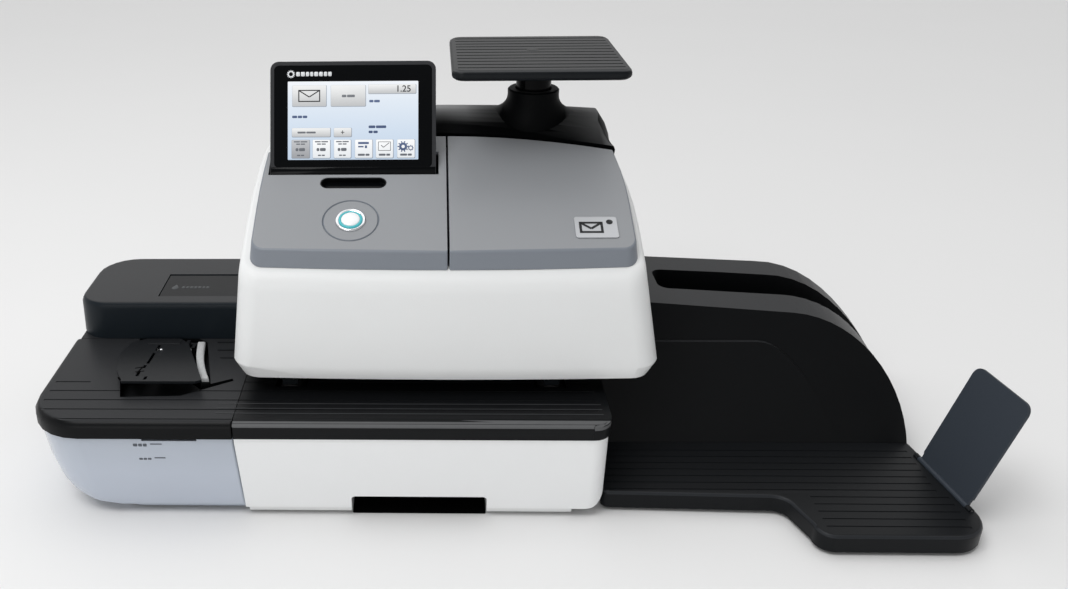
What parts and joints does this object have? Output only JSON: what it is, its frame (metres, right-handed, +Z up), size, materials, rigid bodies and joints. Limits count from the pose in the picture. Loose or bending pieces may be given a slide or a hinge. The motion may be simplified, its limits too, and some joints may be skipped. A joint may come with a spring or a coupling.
{
  "type": "postage meter",
  "caption": "Desktop franking machine with a letter throat, tilting touch display, weighing plate, envelope moistener with pull-out tank, and a catch tray with stop flap.",
  "frame": {"origin": "on the desk under the middle of the machine's bounding box", "axes": "+X towards the catch tray (letters travel along +X), -Y towards the operator, +Z up"},
  "size_m": [0.761, 0.325, 0.322],
  "materials": {
    "white_shell": "fine satin moulding",
    "black_shell": "satin moulding",
    "black_gloss": "glossy moulding",
    "grey_cover": "satin moulding",
    "charcoal": "satin moulding",
    "steel": "brushed",
    "chrome": "polished",
    "silver": "brushed plate",
    "rubber": "matt",
    "tank_clear": "smoked translucent moulding",
    "screen": "lit panel",
    "felt": "pressed felt",
    "board_green": "circuit board",
    "light_ring": "lit ring",
    "button_white": "glossy dome",
    "ink": "moulded cartridge"
  },
  "bodies": {
    "machine": {"base_pan": "white_shell", "rubber_feet": "rubber", "base_shell": "white_shell", "hold_liner": "black_shell", "base_deck": "black_shell", "rear_tower": "black_shell", "chassis": "steel", "drive_belt": "rubber", "drive_motor": "charcoal", "power_supply": "board_green", "power_inlet": "black_shell", "network_port": "steel", "throat_plate": "black_shell", "pressure_brackets": "charcoal", "gantry": "steel", "upper_housing": "white_shell", "left_cover": "grey_cover", "grip_cup": "black_gloss", "button_bezel": "chrome", "button_ring": "light_ring", "cover_pins": "steel", "cartridge_bay": "black_shell", "ink_cartridges": "ink", "main_board": "board_green", "rear_cover": "black_gloss", "load_cell": "silver", "display_pin": "steel", "moistener_base": "black_shell", "moistener_deck": "black_shell", "well_pan": "black_shell", "plate_pin": "steel", "felt_strip": "felt", "moistener_box": "black_shell", "lid_pin": "steel", "tray_deck": "black_shell", "tray_guard": "black_shell", "stop_pin": "steel"},
    "scale": {"scale_stem": "charcoal", "scale_plate": "charcoal"},
    "display": {"display_shell": "charcoal", "display_glass": "black_gloss", "screen_panel": "screen"},
    "cartridge_door": {"cartridge_cover": "grey_cover", "badge_plate": "silver"},
    "button": {"start_button": "button_white"},
    "tank": {"water_tank": "tank_clear"},
    "lid": {"filler_lid": "black_shell"},
    "wetter": {"flap_plate": "charcoal"},
    "stop": {"stop_flap": "charcoal"},
    "entry_drive": {"drive_shaft": "steel", "drive_rollers": "rubber", "drive_pulley": "charcoal"},
    "exit_drive": {"exit_shaft": "steel", "exit_rollers": "rubber", "exit_pulley": "charcoal"},
    "motor_rotor": {"motor_pulley": "steel"},
    "entry_press": {"entry_pressure_rollers": "charcoal"},
    "exit_press": {"exit_pressure_rollers": "charcoal"}
  },
  "joints": [
    {"name": "display_tilt", "type": "hinge", "parent": "machine", "child": "display", "pos_m": [-0.12688, 0.02729, 0.22973], "axis": [-1, 0, 0], "range_deg": [-12, 12]},
    {"name": "cover_open", "type": "hinge", "parent": "machine", "child": "cartridge_door", "pos_m": [0.02512, 0.046, 0.2433], "axis": [-1, 0, 0], "range_deg": [0, 45]},
    {"name": "start_press", "type": "slide", "parent": "machine", "child": "button", "axis": [0, 0.4115, -0.9114], "range_m": [0, 0.0012], "stiffness_N_per_m": 400, "springref_m": -0.001},
    {"name": "scale_press", "type": "slide", "parent": "machine", "child": "scale", "axis": [0, 0, -1], "range_m": [0, 0.0005], "stiffness_N_per_m": 12000, "springref_m": -0.0003},
    {"name": "tank_pull", "type": "slide", "parent": "machine", "child": "tank", "axis": [0, -1, 0], "range_m": [0, 0.12]},
    {"name": "lid_open", "type": "hinge", "parent": "machine", "child": "lid", "pos_m": [-0.26638, 0.0675, 0.1159], "axis": [-1, 0, 0], "range_deg": [0, 75]},
    {"name": "wetter_lift", "type": "hinge", "parent": "machine", "child": "wetter", "pos_m": [-0.29548, 0.009, 0.081], "axis": [-1, 0, 0], "range_deg": [0, 30]},
    {"name": "stop_fold", "type": "hinge", "parent": "machine", "child": "stop", "pos_m": [0.35012, -0.1268, 0.0184], "axis": [-0.1305, 0.9914, 0], "range_deg": [-100, 0]},
    {"name": "drive_spin", "type": "hinge", "parent": "machine", "child": "entry_drive", "pos_m": [-0.17588, -0.029, 0.0748], "axis": [0, 1, 0], "continuous": true},
    {"name": "exit_spin", "type": "hinge", "parent": "machine", "child": "exit_drive", "pos_m": [0.03412, -0.029, 0.0748], "axis": [0, 1, 0], "continuous": true},
    {"name": "motor_spin", "type": "hinge", "parent": "machine", "child": "motor_rotor", "pos_m": [-0.07088, -0.077, 0.0402], "axis": [0, 1, 0], "continuous": true},
    {"name": "entry_press_spin", "type": "hinge", "parent": "machine", "child": "entry_press", "pos_m": [-0.17588, -0.029, 0.0964], "axis": [0, 1, 0], "continuous": true},
    {"name": "exit_press_spin", "type": "hinge", "parent": "machine", "child": "exit_press", "pos_m": [0.03412, -0.029, 0.0964], "axis": [0, 1, 0], "continuous": true}
  ],
  "couplings": [
    {"joint": "exit_spin", "follows": "drive_spin", "ratio": 1},
    {"joint": "motor_spin", "follows": "drive_spin", "ratio": 1.1667},
    {"joint": "entry_press_spin", "follows": "drive_spin", "ratio": -1.625},
    {"joint": "exit_press_spin", "follows": "drive_spin", "ratio": -1.625}
  ]
}
